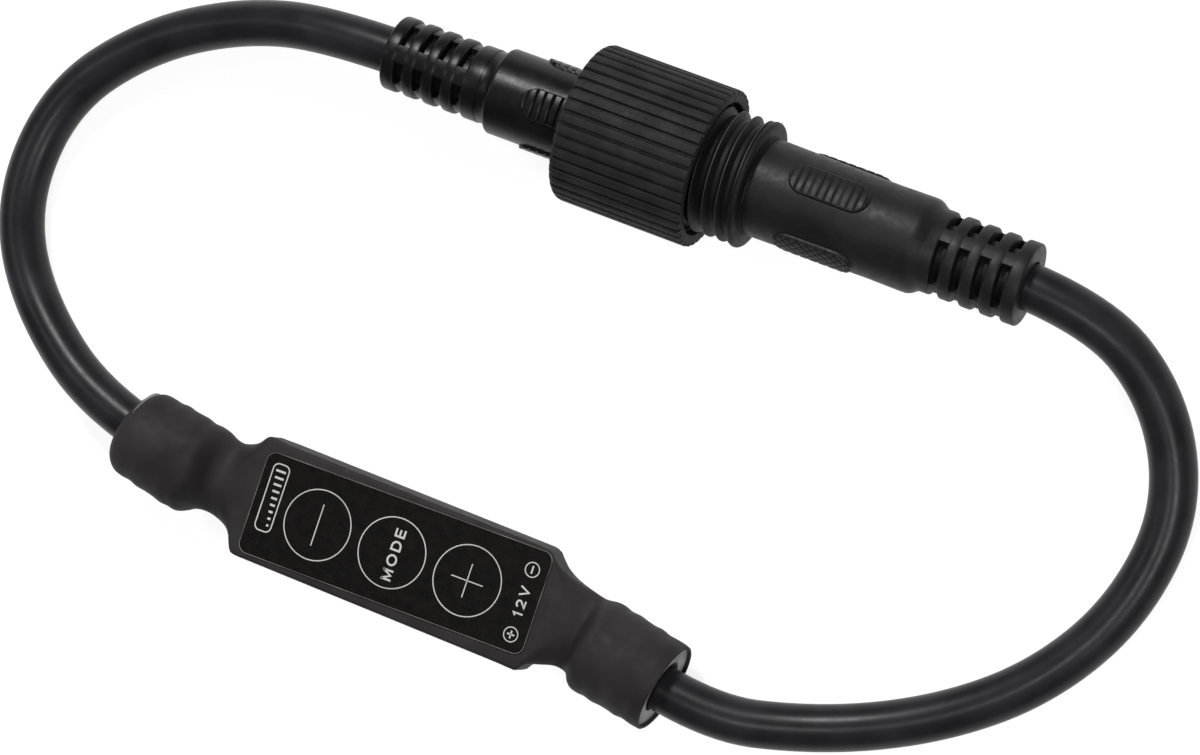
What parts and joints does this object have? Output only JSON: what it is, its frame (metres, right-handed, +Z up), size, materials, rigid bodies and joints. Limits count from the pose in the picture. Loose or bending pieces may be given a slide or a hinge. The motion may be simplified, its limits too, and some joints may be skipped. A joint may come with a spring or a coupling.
{
  "type": "inline led dimmer",
  "caption": "Flat push-button lamp dimmer in a black shrink sleeve, with short leads that curve round to a screwed pair of sealed connectors.",
  "frame": {"origin": "middle of the flat underside of the sleeve, between its two necks", "axes": "+X along the controller towards the supply lead, +Y towards the connectors, +Z up out of the printed face"},
  "size_m": [0.1368, 0.066, 0.0172],
  "materials": {
    "sleeve_black": "matt shrink sleeve",
    "label_film": "satin printed film",
    "board_green": "solder-masked board",
    "switch_black": "moulded",
    "plunger_grey": "moulded",
    "chip_black": "moulded",
    "capacitor_tan": "ceramic body",
    "core_red": "insulated core",
    "core_black": "insulated core",
    "lining_grey": "adhesive lining",
    "cable_black": "semi-gloss jacket",
    "connector_black": "glossy moulding",
    "nut_black": "satin moulding",
    "insert_black": "moulded",
    "seal_black": "moulded ring",
    "contact_brass": "plated"
  },
  "bodies": {
    "controller": {"heat_shrink_sleeve": "sleeve_black", "face_label": "label_film", "circuit_board": "board_green", "minus_switch_body": "switch_black", "mode_switch_body": "switch_black", "plus_switch_body": "switch_black", "control_chip": "chip_black", "dimming_transistor": "chip_black", "bypass_diode": "chip_black", "chip_resistors": "chip_black", "filter_capacitor": "capacitor_tan", "supply_core_positive": "core_red", "lamp_core_positive": "core_red", "socket_core_positive": "core_red", "supply_core_negative": "core_black", "lamp_core_negative": "core_black", "socket_core_negative": "core_black", "supply_lining": "lining_grey", "lamp_lining": "lining_grey", "supply_cable": "cable_black", "lamp_cable": "cable_black", "socket_overmould": "connector_black", "socket_shell": "insert_black", "socket_contact_positive": "contact_brass", "socket_contact_negative": "contact_brass"},
    "minus_button": {"minus_plunger": "plunger_grey"},
    "mode_button": {"mode_plunger": "plunger_grey"},
    "plus_button": {"plus_plunger": "plunger_grey"},
    "plug": {"plug_overmould": "connector_black", "plug_core": "insert_black", "seal_ring": "seal_black", "plug_pin_positive": "contact_brass", "plug_pin_negative": "contact_brass", "plug_core_positive": "core_red", "plug_core_negative": "core_black"},
    "nut": {"coupling_nut": "nut_black"}
  },
  "joints": [
    {"name": "minus_press", "type": "slide", "parent": "controller", "child": "minus_button", "axis": [0, 0, -1], "range_m": [0, 0.00025], "stiffness_N_per_m": 4000},
    {"name": "mode_press", "type": "slide", "parent": "controller", "child": "mode_button", "axis": [0, 0, -1], "range_m": [0, 0.00025], "stiffness_N_per_m": 4000},
    {"name": "plus_press", "type": "slide", "parent": "controller", "child": "plus_button", "axis": [0, 0, -1], "range_m": [0, 0.00025], "stiffness_N_per_m": 4000},
    {"name": "plug_pull", "type": "slide", "parent": "controller", "child": "plug", "axis": [-1, 0, 0], "range_m": [0, 0.009], "deforming": ["lamp_cable"]},
    {"name": "nut_turn", "type": "hinge", "parent": "plug", "child": "nut", "pos_m": [0.01, 0.0497, 0.0086], "axis": [-1, 0, 0], "range_deg": [0, 2160]}
  ],
  "couplings": [
    {"joint": "plug_pull", "follows": "nut_turn", "m_per_rad": 0.00023873}
  ]
}
